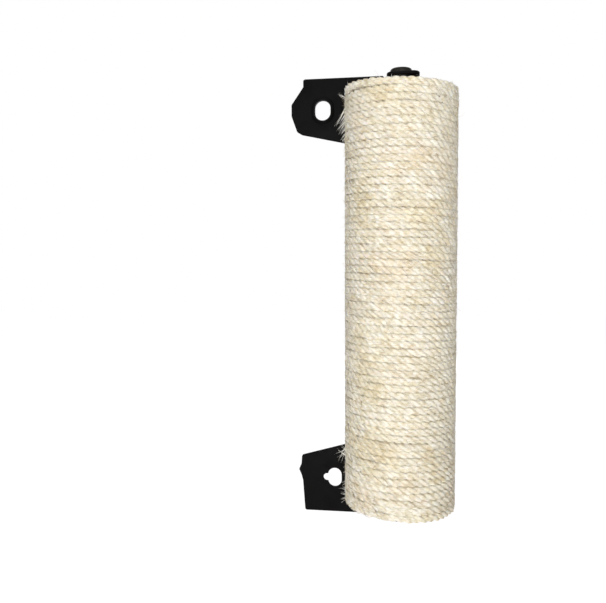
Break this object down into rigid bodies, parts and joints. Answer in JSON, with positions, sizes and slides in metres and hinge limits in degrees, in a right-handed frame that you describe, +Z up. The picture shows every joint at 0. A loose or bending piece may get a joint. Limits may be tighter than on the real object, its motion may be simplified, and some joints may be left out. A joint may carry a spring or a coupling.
{
  "type": "wall-mounted cat scratcher",
  "caption": "Upright scratching post wound with sisal rope, held at both ends by bent black steel brackets whose wings screw to a wall.",
  "frame": {"origin": "on the wall's surface behind the post's axis, at the height of the upper screw hole", "axes": "+X along the wall to the right as seen from the room, +Y into the wall, +Z up along the post"},
  "size_m": [0.1451, 0.0951, 0.4],
  "materials": {
    "sisal_rope": "three-strand twisted natural sisal, pale cream",
    "black_powder_coat": "satin black powder coat on steel sheet",
    "black_zinc": "black zinc-plated steel",
    "bright_zinc": "zinc-plated steel",
    "kraft_tube": "spirally wound kraft paper tube",
    "poplar_ply": "sanded poplar plywood"
  },
  "bodies": {
    "root": {"core_tube": "kraft_tube", "upper_end_plug": "poplar_ply", "lower_end_plug": "poplar_ply", "upper_plug_nails": "bright_zinc", "lower_plug_nails": "bright_zinc", "upper_thread_insert": "bright_zinc", "lower_thread_insert": "bright_zinc", "upper_rope_turns": "sisal_rope", "middle_rope_turns": "sisal_rope", "lower_rope_turns": "sisal_rope", "upper_rope_staple": "bright_zinc", "lower_rope_staple": "bright_zinc", "upper_spacer": "black_zinc", "lower_spacer": "black_zinc", "upper_bracket": "black_powder_coat", "lower_bracket": "black_powder_coat", "upper_bolt_washer": "black_zinc", "lower_bolt_washer": "black_zinc", "upper_bolt": "black_zinc", "lower_bolt": "black_zinc"}
  },
  "joints": []
}
